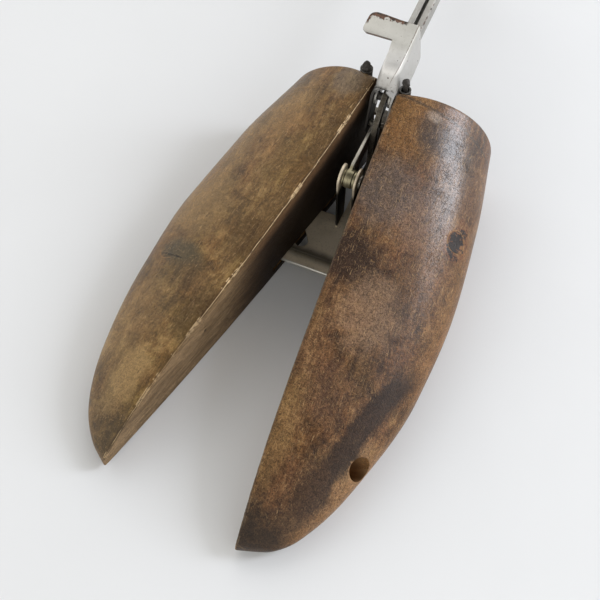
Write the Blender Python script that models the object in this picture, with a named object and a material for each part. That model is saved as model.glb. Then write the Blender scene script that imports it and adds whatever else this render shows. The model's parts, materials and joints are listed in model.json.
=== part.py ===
"""Shoe stretcher: two wooden half lasts on a folded steel frame, spread by a lever.

Frame of the model: Z up, toes towards -Y, millimetres turned into metres by MM.
X = 0 is the middle plane of the steel mechanism, Y = 0 the back of the right half.
At the end every object is shifted by SHIFT, so the footprint is centred on the origin.
"""
import bpy
import bmesh
import math
from mathutils import Matrix, Vector

MM = 0.001
SHIFT = (4.75, 8.4, 0.0)           # moves the footprint's centre to the origin, mm
GAP = 0.3                          # air between neighbouring pieces, mm
LENGTH = 150.0                     # half last, back to toe, mm
XI = 4.06                          # inner face to the middle plane at the back, mm
BOW = -1.2                         # hollow of the inner face at mid length, mm

# One half last: heights and widths along its length, turn on its hinge and back cut.
RIGHT = {"side": 1, "turn": 2.84, "y0": 0.0, "cut": -0.218, "low": 0.36,
         "ridge": (45.0, 36.2, 28.8, 21.4, 14.1, 5.6),
         "width": (34.7, 39.4, 41.2, 38.5, 29.3, 20.1, 10.9, 0.6)}
LEFT = {"side": -1, "turn": 12.78, "y0": 4.56, "cut": 0.142, "low": 0.347,
        "ridge": (45.0, 36.2, 28.8, 21.4, 14.1, 5.6),
        "width": (32.3, 37.2, 37.9, 34.1, 26.0, 16.9, 7.3, 0.6)}
RIDGE_AT = (0.0, 0.25, 0.5, 0.75, 0.9, 1.0)
WIDTH_AT = (0.0, 0.2, 0.4, 0.6, 0.8, 0.92, 0.98, 1.0)
TOE_LIFT = 0.9

# Hinge pins, closing angles and the pegs.
PIN_L = (-9.3, 6.6)
PIN_R = (5.95, 2.9)
PIN_RADIUS = 1.25
CLOSE_L = 9.0
CLOSE_R = 1.4
PEG_RADIUS = 4.0

# Lever, link and slide plate.
PIVOT = (-0.8, 41.0)
CRANK = 11.0
CRANK_AT = -20.0
AXLE = (-29.3, 30.8)
TRAVEL = 8.41
LEVER_OUT = 3.8
SHEET = 0.7
PLATE_Z = (3.0, 4.5)
RIVET_Y = -2.8

# Strut and heel.
STRUT_OUT = 2.8
STRUT_Z = (41.5, 47.8)
STRUT_END = 104.0


def material(name, colour, roughness, metallic):
    mat = bpy.data.materials.new(name)
    mat.use_nodes = True
    bsdf = mat.node_tree.nodes["Principled BSDF"]
    bsdf.inputs["Base Color"].default_value = (*colour, 1.0)
    bsdf.inputs["Roughness"].default_value = roughness
    bsdf.inputs["Metallic"].default_value = metallic
    return mat


def monotone(xs, ys, x):
    """Smooth monotone curve through the points (Fritsch-Carlson slopes)."""
    n = len(xs)
    h = [xs[i + 1] - xs[i] for i in range(n - 1)]
    d = [(ys[i + 1] - ys[i]) / h[i] for i in range(n - 1)]
    m = [0.0] * n
    for i in range(1, n - 1):
        if d[i - 1] * d[i] > 0:
            w1 = 2 * h[i] + h[i - 1]
            w2 = h[i] + 2 * h[i - 1]
            m[i] = (w1 + w2) / (w1 / d[i - 1] + w2 / d[i])
    m[0] = d[0]
    m[-1] = d[-1]
    i = max(0, min(n - 2, sum(1 for a in xs[1:-1] if x >= a)))
    t = (x - xs[i]) / h[i]
    a = (2 * t ** 3 - 3 * t ** 2 + 1) * ys[i] + (t ** 3 - 2 * t ** 2 + t) * h[i] * m[i]
    b = (3 * t ** 2 - 2 * t ** 3) * ys[i + 1] + (t ** 3 - t ** 2) * h[i] * m[i + 1]
    return a + b


def half_point(half, u, v, z):
    """World point of a half last: u out from the inner face, v from back to toe."""
    turn = math.radians(half["turn"])
    x = XI + u * math.cos(turn) + v * math.sin(turn)
    y = u * math.sin(turn) - v * math.cos(turn) + half["y0"]
    return Vector((half["side"] * x * MM, y * MM, z * MM))


def half_heights(half, s):
    top = monotone(RIDGE_AT, half["ridge"], s)
    base = TOE_LIFT * max(0.0, (s - 0.6) / 0.4) ** 2
    return base, base + half["low"] * (top - base), top


def half_ring(half, s):
    """Outline of the half last at one station, from the ridge round to the sole."""
    base, middle, top = half_heights(half, s)
    wide = monotone(WIDTH_AT, half["width"], s)
    pts = []
    for i in range(13):
        t = math.radians(90) * i / 12
        pts.append((wide * math.sin(t), middle + (top - middle) * math.cos(t)))
    for i in range(1, 6):
        t = math.radians(90) * i / 5
        pts.append((wide * (0.72 + 0.28 * math.cos(t)), middle - (middle - base) * math.sin(t)))
    pts.append((0.0, base))
    ring = []
    for u, z in pts:
        v = s * LENGTH + half["cut"] * u * (1 - s) ** 2
        ring.append(half_point(half, u + BOW * 4 * s * (1 - s), v, z))
    return ring


def new_object(name, mesh_or_bm, mat):
    if isinstance(mesh_or_bm, bmesh.types.BMesh):
        mesh = bpy.data.meshes.new(name)
        bmesh.ops.recalc_face_normals(mesh_or_bm, faces=mesh_or_bm.faces)
        mesh_or_bm.to_mesh(mesh)
        mesh_or_bm.free()
    else:
        mesh = mesh_or_bm
    obj = bpy.data.objects.new(name, mesh)
    bpy.context.scene.collection.objects.link(obj)
    if mat is not None:
        mesh.materials.append(mat)
    return obj


def prism(name, outline, low, high, axis, mat=None):
    """Straight prism: outline in the two other axes, from low to high along axis (mm)."""
    bm = bmesh.new()
    rows = []
    for level in (low, high):
        row = []
        for a, b in outline:
            if axis == "X":
                co = (level, a, b)
            elif axis == "Y":
                co = (a, level, b)
            else:
                co = (a, b, level)
            row.append(bm.verts.new([c * MM for c in co]))
        rows.append(row)
    n = len(outline)
    bm.faces.new(rows[0])
    bm.faces.new(rows[1])
    for i in range(n):
        bm.faces.new((rows[0][i], rows[0][(i + 1) % n], rows[1][(i + 1) % n], rows[1][i]))
    return new_object(name, bm, mat)


def box(name, low, high, mat=None):
    outline = ((low[0], low[1]), (high[0], low[1]), (high[0], high[1]), (low[0], high[1]))
    return prism(name, outline, low[2], high[2], "Z", mat)


def arc(centre, radius, start, end, steps):
    pts = []
    for i in range(steps + 1):
        a = math.radians(start + (end - start) * i / steps)
        pts.append((centre[0] + radius * math.cos(a), centre[1] + radius * math.sin(a)))
    return pts


def disc(name, centre, radius, low, high, axis, mat=None, steps=32):
    outline = arc(centre, radius, 0, 360 - 360 / steps, steps - 1)
    return prism(name, outline, low, high, axis, mat)


def obround(name, start, end, radius, low, high):
    """Slot-shaped prism along Z between two centres."""
    heading = math.degrees(math.atan2(end[1] - start[1], end[0] - start[0]))
    outline = arc(end, radius, heading - 90, heading + 90, 12)
    outline += arc(start, radius, heading + 90, heading + 270, 12)
    return prism(name, outline, low, high, "Z")


def boolean(target, cutter, operation):
    mod = target.modifiers.new("cut", "BOOLEAN")
    mod.operation = operation
    mod.solver = "EXACT"
    mod.object = cutter
    graph = bpy.context.evaluated_depsgraph_get()
    mesh = bpy.data.meshes.new_from_object(target.evaluated_get(graph))
    target.modifiers.clear()
    target.data = mesh
    bpy.data.objects.remove(cutter)
    return target


def cut(target, *cutters):
    for cutter in cutters:
        boolean(target, cutter, "DIFFERENCE")
    return target


def join(target, *others):
    for other in others:
        boolean(target, other, "UNION")
    return target


def place_origin(obj, point):
    """Moves the origin to a point in millimetres and leaves the mesh where it is."""
    move = Vector([c * MM for c in point])
    obj.data.transform(Matrix.Translation(-move))
    obj.location = move


def rod_along(name, start, direction, length, radius, mat=None, steps=28):
    """Round rod from start (metres) along a direction, length and radius in mm."""
    bm = bmesh.new()
    bmesh.ops.create_cone(bm, cap_ends=True, segments=steps, radius1=radius * MM,
                          radius2=radius * MM, depth=length * MM)
    turn = Vector((0, 0, 1)).rotation_difference(direction)
    middle = start + direction * (length * MM / 2)
    bm.transform(Matrix.Translation(middle) @ turn.to_matrix().to_4x4())
    return new_object(name, bm, mat)


def peg_axis(half, v, u, z):
    """Point on the outer face and the outward direction there."""
    base, middle, top = half_heights(half, v / LENGTH)
    wide = monotone(WIDTH_AT, half["width"], v / LENGTH)
    nu = u / wide ** 2
    nz = (z - middle) / (top - middle) ** 2
    here = half_point(half, u, v, z)
    there = half_point(half, u + nu, v, z + nz)
    return here, (there - here).normalized()


def half_last(name, half, pin, closing, mat):
    stations = [1 - (1 - i / 26) ** 1.3 for i in range(27)]
    bm = bmesh.new()
    rings = [[bm.verts.new(p) for p in half_ring(half, s)] for s in stations]
    n = len(rings[0])
    for a, b in zip(rings[:-1], rings[1:]):
        for i in range(n):
            bm.faces.new((a[i], a[(i + 1) % n], b[(i + 1) % n], b[i]))
    bm.faces.new(rings[0])
    bm.faces.new(rings[-1])
    obj = new_object(name, bm, mat)
    kerf_outline = [half_point(half, u, v, 0) / MM for u, v in ((-3, 9), (24.5, 9), (24.5, 63), (-3, 63))]
    kerf = prism("kerf", [(p.x, p.y) for p in kerf_outline], PLATE_Z[0] - 0.4, PLATE_Z[1] + 0.4, "Z")
    groove = disc("groove", pin, 2.55, -2, 60, "Z")
    cut(obj, kerf, groove)
    return obj


def guide_pin_centre(half):
    u, v = (6.0, 40.0) if half is LEFT else (8.0, 36.0)
    p = half_point(half, u, v, 0) / MM
    return (p.x, p.y)


def turned(point, pin, degrees):
    a = math.radians(degrees)
    dx = point[0] - pin[0]
    dy = point[1] - pin[1]
    return (pin[0] + dx * math.cos(a) - dy * math.sin(a), pin[1] + dx * math.sin(a) + dy * math.cos(a))


def face_point(half, u, off):
    """Point behind the back face: off is the distance behind it, mm."""
    here = half_point(half, u, half["cut"] * u, 0) / MM
    ahead = half_point(half, u + 1, half["cut"] * (u + 1), 0) / MM
    along = (ahead - here).normalized()
    behind = Vector((-along.y, along.x, 0))
    if behind.y < 0:
        behind = -behind
    p = here + behind * off
    return (p.x, p.y), behind


def strap(name, half, pin, low, high, knuckle_top, mat):
    """Iron hinge strap: a knuckle round the pin and a leaf on the back face."""
    pin_u = (abs(pin[0]) - XI) / math.cos(math.radians(half["turn"]))
    knuckle_radius = 2.2 if half is LEFT else 2.0
    leaf = []
    for u, off in ((pin_u, GAP), (pin_u + 12, GAP), (pin_u + 12, GAP + 1.2), (pin_u, GAP + 1.2)):
        leaf.append(face_point(half, u, off)[0])
    knuckle = disc(name, pin, knuckle_radius, low, knuckle_top, "Z", mat)
    join(knuckle, prism("leaf", leaf, low, high, "Z"))
    cut(knuckle, disc("eye", pin, PIN_RADIUS + 0.25, low - 1, knuckle_top + 1, "Z"))
    centre, behind = face_point(half, pin_u + 8.5, 0)
    start = Vector((centre[0] * MM, centre[1] * MM, (low + high) / 2 * MM)) - behind * (3 * MM)
    cut(knuckle, rod_along("hole", start, behind, 9, 1.4))
    return knuckle


def strap_screw(name, half, pin, height, mat):
    pin_u = (abs(pin[0]) - XI) / math.cos(math.radians(half["turn"]))
    centre, behind = face_point(half, pin_u + 8.5, 0)
    middle = Vector((centre[0] * MM, centre[1] * MM, height * MM))
    shank = rod_along(name, middle - behind * (9 * MM), behind, 9 + GAP * 2 + 1.2 + 0.2, 1.1, mat, 24)
    head = rod_along("head", middle + behind * ((GAP * 2 + 1.2) * MM), behind, 0.9, 2.0, None, 24)
    join(shank, head)
    hole = rod_along("screw_hole", middle - behind * (9.4 * MM), behind, 12, 1.4, None, 24)
    return shank, hole


def hinge_pin(name, pin, top, mat):
    pinned = disc(name, pin, PIN_RADIUS, 4.6, top, "Z", mat, 24)
    dome = bmesh.new()
    bmesh.ops.create_uvsphere(dome, u_segments=24, v_segments=12, radius=1.9 * MM)
    bmesh.ops.translate(dome, verts=dome.verts, vec=(pin[0] * MM, pin[1] * MM, (top + 0.6) * MM))
    return join(pinned, new_object("dome", dome, None))


def centre_frame(mat):
    """Base strip, rear wall, two cross arms and the upright with the pivot."""
    frame = box("centre_frame", (-3.2, -13.0, 5.4), (3.2, 8.9, 7.0), mat)
    join(frame, box("rear", (-3.2, 7.4, 5.6), (3.2, 8.9, 23.0)))
    for low, high in ((5.4, 7.0), (21.4, 23.0)):
        front = 0.9 if low > 10 else 7.0
        join(frame, box("arm", (-3.2, front, low), (3.2, 8.9, high)))
        join(frame, box("arm_l", (-9.3, 6.5, low), (-2.6, 8.9, high)), disc("pad_l", PIN_L, 2.35, low, high, "Z"))
        join(frame, box("arm_r", (2.6, 1.6, low), (5.95, 4.4, high)), disc("pad_r", PIN_R, 2.1, low, high, "Z"))
    outline = [(-13.0, 5.6), (-13.0, 29.0), (-10.4, 36.4), (-5.4, 42.0)]
    outline += arc(PIVOT, 3.0, 140, -80, 14)
    outline += [(-4.6, 37.0), (-7.0, 33.6), (-8.4, 29.0), (-8.4, 11.0), (-6.0, 7.6), (-6.0, 5.6)]
    join(frame, prism("upright", outline, -0.3, 1.5, "X"))
    cut(frame, disc("pivot_hole", PIVOT, 1.7, -3, 4, "X", None, 24))
    cut(frame, disc("rivet_hole", (0.0, RIVET_Y), 1.5, 4, 8, "Z", None, 24))
    for pin in (PIN_L, PIN_R):
        cut(frame, disc("pin_hole", pin, PIN_RADIUS + 0.25, 4, 24, "Z", None, 24))
    return frame


def lever_profile(off):
    """Top line of the lever's web from its rear edge to its front lip, off mm lower."""
    top = [(21.8, 54.0), (5.0, 51.9), (2.4, 50.4), (0.4, 47.9), (-0.8, 45.0)]
    if off == 0:
        return top
    return [(21.8, 54.0 - off), (5.0, 51.9 - off), (2.9, 50.4 - off), (1.1, 47.6 - off * 0.4), (-0.1, 44.75)]


def lever(mat, crank):
    web_line = lever_profile(0) + list(reversed(lever_profile(SHEET)))
    web = prism("lever", web_line, -LEVER_OUT, LEVER_OUT, "X", mat)
    ear = [(21.8, 53.9), (5.0, 51.8), (2.4, 50.3), (0.3, 47.8), (-0.8, 45.2)]
    ear += arc(PIVOT, 4.2, 95, 185, 7)
    ear += arc(crank, 3.6, 160, 310, 10)
    right = ear + [(3.6, 35.6), (9.0, 37.2), (21.8, 38.4)]
    left = [(9.4, 52.3)] + ear[1:] + [(3.6, 35.6), (7.4, 38.6), (9.4, 42.0)]
    join(web, prism("ear_r", right, LEVER_OUT - SHEET, LEVER_OUT, "X"))
    cut(web, box("relief", (-5.0, 9.4, 48.0), (-2.7, 13.2, 56.0)))
    join(web, prism("ear_l", left, -LEVER_OUT, SHEET - LEVER_OUT, "X"))
    corner = arc((-11.6, 20.2), 2.7, 90, 180, 5) + arc((-12.0, 15.6), 2.4, 180, 270, 5)
    tab_outline = [(-2.7, 13.2), (-2.7, 21.8)] + [(-9.0, 22.6)] + corner
    tab = prism("tab", tab_outline, 0.0, 0.9, "Z")
    for vert in tab.data.vertices:
        vert.co.z += (54.0 - SHEET - 0.15 + (vert.co.y / MM - 21.8) * 0.125) * MM
    join(web, tab)
    cut(web, disc("pivot_hole", PIVOT, 1.7, -6, 6, "X", None, 24))
    cut(web, disc("crank_hole", crank, 1.3, -6, 6, "X", None, 24))
    return web


def slide_plate(mat):
    """Flat plate with slanted slots, a guided tongue and two ears for the axle."""
    low, high = PLATE_Z
    outline = [(-26.0, -51.8), (20.0, -51.8), (20.0, -28.0), (3.0, -28.0), (3.0, 1.2), (-3.0, 1.2),
               (-3.0, -28.0), (-26.0, -28.0)]
    plate = prism("slide_plate", outline, low, high, "Z", mat)
    cut(plate, box("lip", (-30.0, -60.0, high - 0.4), (30.0, -46.6, high + 1.0)))
    ear = arc(AXLE, 4.4, -10, 190, 16) + [(-32.4, 3.6), (-26.2, 3.6)]
    join(plate, prism("ear_l", ear, -3.7, -3.0, "X"), prism("ear_r", ear, 1.9, 2.6, "X"))
    cut(plate, box("tongue_slot", (-1.5, RIVET_Y - TRAVEL - 1.7, low - 1), (1.5, RIVET_Y + 1.7, high + 1)))
    for half, pin, closing in ((LEFT, PIN_L, CLOSE_L), (RIGHT, PIN_R, -CLOSE_R)):
        start = guide_pin_centre(half)
        end = turned(start, pin, closing)
        end = (end[0], end[1] - TRAVEL)
        cut(plate, obround("slot", start, end, 2.4, low - 1, high + 1))
    cut(plate, disc("axle_hole", AXLE, 1.7, -8, 8, "X", None, 24))
    return plate


def link(mat, crank):
    """Thin upright blade with a rolled eye round the axle and a wide hole at the crank."""
    outline = [(3.6, 29.0), (3.6, 31.6), (1.8, 32.8), (-8.0, 33.4), (-25.5, 34.2)]
    outline += arc(AXLE, 3.3, 60, 290, 12)
    outline += [(-24.0, 27.6), (-8.0, 27.0), (1.8, 27.6)]
    blade = prism("link", outline, -1.6, -0.6, "X", mat)
    join(blade, disc("eye", AXLE, 3.2, -1.9, 0.5, "X"))
    cut(blade, disc("axle_hole", AXLE, 1.7, -4, 4, "X", None, 24))
    cut(blade, disc("crank_hole", crank, 1.8, -4, 4, "X", None, 24))
    return blade


def strut(mat):
    """Slotted C-channel with a forked front end round the pivot."""
    low, high = STRUT_Z
    out = STRUT_OUT
    side = [(STRUT_END, low), (STRUT_END, high), (8.0, high), (4.6, 46.6), (1.4, 44.0)]
    side += arc(PIVOT, 3.0, 80, 280, 14) + [(5.0, 38.6), (10.0, low)]
    channel = prism("strut", side, out - SHEET, out, "X", mat)
    other = prism("wall_l", side, -out, SHEET - out, "X")
    floor = box("floor", (-out, 10.0, low), (out, STRUT_END, low + SHEET))
    lip_l = box("lip_l", (-out, 8.4, high - SHEET), (-0.65, STRUT_END, high))
    lip_r = box("lip_r", (0.65, 8.4, high - SHEET), (out, STRUT_END, high))
    join(channel, floor, other, lip_l, lip_r)
    cut(channel, disc("pivot_hole", PIVOT, 1.7, -6, 6, "X", None, 24))
    return channel


def heel_block(mat):
    """Rounded wooden heel piece, flat in front, domed behind."""
    rows = []
    for k in range(13):
        t = -90 + 180 * k / 12
        rows.append((math.sin(math.radians(t)), math.cos(math.radians(t))))
    bm = bmesh.new()
    rings = []
    for level in range(9):
        z = 14.0 + 44.0 * level / 8
        bulge = math.sqrt(max(0.0, 1 - ((z - 36.0) / 25.0) ** 2))
        ring = [bm.verts.new((17.0 * bulge * a * MM, (112.0 + 21.0 * bulge * b) * MM, z * MM)) for a, b in rows]
        rings.append(ring)
    n = len(rows)
    for a, b in zip(rings[:-1], rings[1:]):
        for i in range(n):
            bm.faces.new((a[i], a[(i + 1) % n], b[(i + 1) % n], b[i]))
    bm.faces.new(rings[0])
    bm.faces.new(rings[-1])
    block = new_object("heel_block", bm, mat)
    return cut(block, box("bar_hole", (-2.1, 100.0, 42.4), (2.1, 126.3, 46.9)))


def build():
    for old in list(bpy.data.objects):
        bpy.data.objects.remove(old)
    wood = material("walnut_stained_wood", (0.16, 0.075, 0.035), 0.45, 0.0)
    dark = material("dark_plug", (0.03, 0.02, 0.015), 0.6, 0.0)
    plated = material("nickel_plated_steel", (0.75, 0.73, 0.68), 0.28, 1.0)
    steel = material("dull_steel", (0.42, 0.40, 0.36), 0.42, 1.0)
    iron = material("dark_iron", (0.10, 0.09, 0.08), 0.6, 1.0)
    crank_angle = math.radians(CRANK_AT)
    crank = (PIVOT[0] + CRANK * math.sin(crank_angle), PIVOT[1] - CRANK * math.cos(crank_angle))

    made = {}
    for tag, half, pin, closing in (("left", LEFT, PIN_L, CLOSE_L), ("right", RIGHT, PIN_R, -CLOSE_R)):
        body = half_last("half_" + tag, half, pin, closing, wood)
        guide = guide_pin_centre(half)
        cut(body, disc("guide_hole", guide, 2.1, -2, 14.4, "Z"))
        made["guide_pin_" + tag] = (disc("guide_pin_" + tag, guide, 1.8, 0.7, 14.0, "Z", steel, 28), (*guide, 0))
        for place, low, high, knuckle_top in (("upper", 31.5, 38.5, 43.6), ("lower", 8.0, 14.0, 14.0)):
            key = "strap_%s_%s" % (place, tag)
            made[key] = (strap(key, half, pin, low, high, knuckle_top, iron), (*pin, low))
            key = "strap_screw_%s_%s" % (place, tag)
            screw, hole = strap_screw(key, half, pin, (low + high) / 2, iron)
            cut(body, hole)
            made[key] = (screw, (*pin, low))
        if half is RIGHT:
            spot, out = peg_axis(half, 116.8, 28.4, 12.2)
            cut(body, rod_along("peg_hole", spot - out * (9 * MM), out, 20, PEG_RADIUS - 0.2))
            spot, out = peg_axis(half, 36.8, 34.3, 25.3)
        else:
            spot, out = peg_axis(half, 84.0, 25.0, 21.6)
        cut(body, rod_along("plug_hole", spot - out * (12 * MM), out, 24, PEG_RADIUS - 0.2))
        plug = rod_along("plug_" + tag, spot - out * (11.7 * MM), out, 11.1, PEG_RADIUS - 0.45, dark)
        made["plug_" + tag] = (plug, (*pin, 0))
        made["half_" + tag] = (body, (*pin, 0))

    made["hinge_pin_left"] = (hinge_pin("hinge_pin_left", PIN_L, 44.4, iron), (*PIN_L, 0))
    made["hinge_pin_right"] = (hinge_pin("hinge_pin_right", PIN_R, 46.0, iron), (*PIN_R, 0))
    made["centre_frame"] = (centre_frame(steel), (0, 0, 0))
    rivet = disc("guide_rivet", (0.0, RIVET_Y), 1.2, 1.8, 8.0, "Z", steel, 24)
    join(rivet, disc("foot", (0.0, RIVET_Y), 2.3, 1.6, 2.6, "Z", None, 24))
    join(rivet, disc("cap", (0.0, RIVET_Y), 2.1, 7.3, 8.1, "Z", None, 24))
    made["guide_rivet"] = (rivet, (0, RIVET_Y, 0))
    made["pivot_pin"] = (disc("pivot_pin", PIVOT, 1.4, -3.7, 3.7, "X", iron, 24), (0, *PIVOT))
    made["lever"] = (lever(plated, crank), (0, *PIVOT))
    made["crank_rivet"] = (disc("crank_rivet", crank, 1.0, -3.7, 3.7, "X", steel, 24), (0, *PIVOT))
    made["link"] = (link(plated, crank), (0, *AXLE))
    made["slide_plate"] = (slide_plate(steel), (0, *AXLE))
    axle = disc("axle", AXLE, 1.4, -3.75, 3.2, "X", steel, 24)
    join(axle, disc("head", AXLE, 2.3, 2.9, 3.5, "X", None, 24))
    made["axle"] = (axle, (0, *AXLE))
    for key, low, high in (("washer_left", -2.7, -2.2), ("washer_right", 0.8, 1.6)):
        washer = disc(key, AXLE, 3.0, low, high, "X", plated)
        cut(washer, disc("bore", AXLE, 1.7, low - 1, high + 1, "X", None, 24))
        made[key] = (washer, (0, *AXLE))
    made["strut"] = (strut(plated), (0, *PIVOT))
    made["heel_slide"] = (box("heel_slide", (-1.8, 60.0, 42.7), (1.8, 126.0, 46.6), steel), (0, 60, 44.65))
    made["heel_block"] = (heel_block(wood), (0, 112, 44.65))

    for obj, origin in made.values():
        place_origin(obj, origin)
        obj.location += Vector(SHIFT) * MM


build()
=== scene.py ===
"""Old wooden shoe stretcher with a nickel-plated lever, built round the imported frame.

Lengths are millimetres in the mechanism's own frame unless a name says otherwise:
X = 0 is the middle plane of the steel, Y = 0 the back of the right half last, toes towards -Y.
On a half last u runs out from its inner face, v from its back to its toe, and s is v / LENGTH.
"""
import json
import math

import bmesh
import bpy
import numpy as np
from mathutils import Matrix, Vector, noise
from mathutils.bvhtree import BVHTree

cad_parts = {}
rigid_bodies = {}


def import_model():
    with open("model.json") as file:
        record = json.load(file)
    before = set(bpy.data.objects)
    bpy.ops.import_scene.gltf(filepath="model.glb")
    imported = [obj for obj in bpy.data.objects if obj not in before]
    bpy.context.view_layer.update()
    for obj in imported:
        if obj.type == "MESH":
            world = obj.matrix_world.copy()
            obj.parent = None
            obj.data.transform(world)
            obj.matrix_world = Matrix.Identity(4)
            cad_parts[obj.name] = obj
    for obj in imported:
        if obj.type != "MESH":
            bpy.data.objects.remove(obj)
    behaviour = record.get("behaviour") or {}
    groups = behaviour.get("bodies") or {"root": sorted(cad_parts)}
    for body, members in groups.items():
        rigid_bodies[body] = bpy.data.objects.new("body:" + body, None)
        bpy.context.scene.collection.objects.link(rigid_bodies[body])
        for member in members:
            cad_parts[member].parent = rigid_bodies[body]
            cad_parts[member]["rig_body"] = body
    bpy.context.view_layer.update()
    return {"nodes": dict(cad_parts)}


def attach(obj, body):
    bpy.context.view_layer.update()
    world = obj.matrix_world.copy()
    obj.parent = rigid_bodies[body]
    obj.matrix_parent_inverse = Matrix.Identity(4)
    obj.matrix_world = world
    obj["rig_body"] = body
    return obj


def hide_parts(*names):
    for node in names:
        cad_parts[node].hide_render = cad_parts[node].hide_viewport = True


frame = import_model()

MM = 0.001
SHIFT = Vector((4.75, 8.4, 0.0))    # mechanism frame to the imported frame, mm
MERGE = 2e-6                        # metres; points closer than this are one
X_AXIS, Z_AXIS = Vector((1, 0, 0)), Vector((0, 0, 1))

# Half lasts: turn is in degrees, cut the slant of the back, low the share of the height at
# which it is widest, corner the round at the top of the back, and chipped the ridge's wear.
# pin is x and y, guide is u and v, plug is v, u and z.
LENGTH = 150.0                      # back to toe
XI = 4.06                           # inner face to the middle plane at the back
BOW = -1.2                          # hollow of the inner face at mid length
TOE_LIFT = 0.9
NOSE = 2.4                          # the toe rounds off over this length
SOLE = 0.72                         # flat share of the sole's width
RIDGE_AT = (0.0, 0.25, 0.5, 0.75, 0.9, 1.0)
RIDGE = (45.0, 36.2, 28.8, 21.4, 14.1, 5.6)
WIDTH_AT = (0.0, 0.2, 0.4, 0.6, 0.8, 0.92, 0.98, 1.0)
RIGHT = {"tag": "right", "side": 1, "turn": 2.84, "y0": 0.0, "cut": -0.218, "low": 0.36,
         "width": (34.7, 39.4, 41.2, 38.5, 29.3, 20.1, 10.9, 0.6), "pin": (5.95, 2.9),
         "guide": (8.0, 36.0), "plug": (36.8, 34.3, 25.3), "corner": 1.6, "chipped": 0.2, "seed": 3.0}
LEFT = {"tag": "left", "side": -1, "turn": 12.78, "y0": 4.56, "cut": 0.142, "low": 0.347,
        "width": (32.3, 37.2, 37.9, 34.1, 26.0, 16.9, 7.3, 0.6), "pin": (-9.3, 6.6),
        "guide": (6.0, 40.0), "plug": (84.0, 25.0, 21.6), "corner": 3.4, "chipped": 0.42, "seed": 11.0}
CHIP_REACH = 2.6                    # how far from the ridge it is worn
PEG = (116.8, 28.4, 12.2)           # open peg hole in the right half: v, u, z
PEG_RADIUS = 3.8
PLUG_DEPTH = 9.5
PLUG_HOLE, PEG_HOLE = (12, 24), (9, 20)             # cutter's start below the face, and length
KERF = ((-3, 9), (24.5, 9), (24.5, 63), (-3, 63))   # saw cut for the slide plate: u and v
KERF_LOW, KERF_HIGH = 2.6, 4.9
UNDER = -2.0                        # the upright bores start here, below the sole
GUIDE_BORE, GUIDE_TOP = 2.1, 14.4
PIN_BORE, PIN_TOP = 2.55, 60.0
SCREW_BORE, SCREW_DEEP, SCREW_LONG = 1.4, 9.4, 14.0
SCREW_ASIDE, SCREW_HEIGHTS = 8.5, (35.0, 11.0)

# lever
PIVOT = (-0.8, 41.0)                # lever pivot, y and z
CRANK_POINT = (-4.562, 30.663)      # rivet between lever and link, y and z
PIVOT_BORE, CRANK_BORE = 1.7, 1.3
PIVOT_EAR, CRANK_EAR = 4.2, 3.6     # rounds of the side walls about them
LEVER_OUT = 3.8                     # half the lever's width before it is squeezed
SHEET = 0.7                         # thickness of its sheet
LEVER_Y = (-0.8, 0.4, 2.4, 5.0, 21.8)
LEVER_Z = (45.0, 47.9, 50.4, 51.9, 54.0)
FRONT, BACK = LEVER_Y[0], LEVER_Y[-1]
WEB_RIGHT = ((FRONT, 0.4, 2.4, 5.0, 13.0, BACK), (0.9, 1.4, 2.3, 2.9, 3.2, 3.2))
WEB_LEFT = ((FRONT, 0.4, 5.0, 9.0, 13.0, BACK), (2.1, 2.3, 2.7, 2.9, 3.35, 3.8))
TAB_FRONT, TAB_BACK, TAB_LEFT = 21.6, 30.5, -9.45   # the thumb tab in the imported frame
TAB_SAG = 0.0025                    # per mm, times the distance squared

# strut, slide plate, hinge pins and heel piece
STRUT_OUT, STRUT_RAIL = 2.8, 47.7   # its outer faces, and just below its upper corners
PLATE_FRONT, PLATE_TOP = -51.8, 3.9
PIN_HEAD = 44.5
HEEL_LOW, HEEL_TALL, HEEL_MIDDLE = 14.3, 43.4, 36.0
HEEL_WIDE, HEEL_DEEP, HEEL_ROUND, HEEL_FRONT = 17.0, 21.0, 25.0, 112.25
HEEL_BORE = ((-2.1, 42.4), (2.1, 42.4), (2.1, 46.9), (-2.1, 46.9))   # x and z
HEEL_BORE_FROM, HEEL_BORE_TO = 100.0, 126.3


# -------- frames, camera, light and floor

def to_world(x, y, z):
    """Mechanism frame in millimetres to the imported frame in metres."""
    return (Vector((x, y, z)) + SHIFT) * MM


def to_mech(point):
    """The way back, from metres to millimetres."""
    return point / MM - SHIFT


def linear(*rgb):
    """sRGB 0..255 to linear 0..1."""
    out = []
    for c in rgb:
        c /= 255.0
        out.append(c / 12.92 if c <= 0.04045 else ((c + 0.055) / 1.055) ** 2.4)
    return tuple(out)


def add_object(name, data):
    obj = bpy.data.objects.new(name, data)
    bpy.context.scene.collection.objects.link(obj)
    return obj


def aim(obj, centre, azimuth, elevation, distance):
    """Sets obj off the centre, looking back at it; azimuth runs from +Y towards +X."""
    a, e = math.radians(azimuth), math.radians(elevation)
    way = Vector((math.sin(a) * math.cos(e), math.cos(a) * math.cos(e), math.sin(e)))
    obj.location = centre + way * distance
    obj.rotation_euler = (-way).to_track_quat("-Z", "Y").to_euler()


def camera():
    data = bpy.data.cameras.new("camera")
    data.lens = 59.7
    data.sensor_width = 36.0
    data.clip_start = 0.01
    data.clip_end = 50.0
    cam = add_object("camera", data)
    to_the_right, above, distance = 23.0, 61.0, 0.3197
    aim(cam, to_world(-0.18, -72.58, 20.0), 180.0 - to_the_right, above, distance)
    bpy.context.scene.camera = cam


def area_light(name, azimuth, elevation, distance, size, power, colour):
    """Soft upright light looking at the object."""
    data = bpy.data.lights.new(name, "AREA")
    data.shape = "RECTANGLE"
    data.size, data.size_y = size
    data.energy = power
    data.color = colour
    aim(add_object(name, data), Vector((0.0, -0.05, 0.02)), azimuth, elevation, distance)


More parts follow.
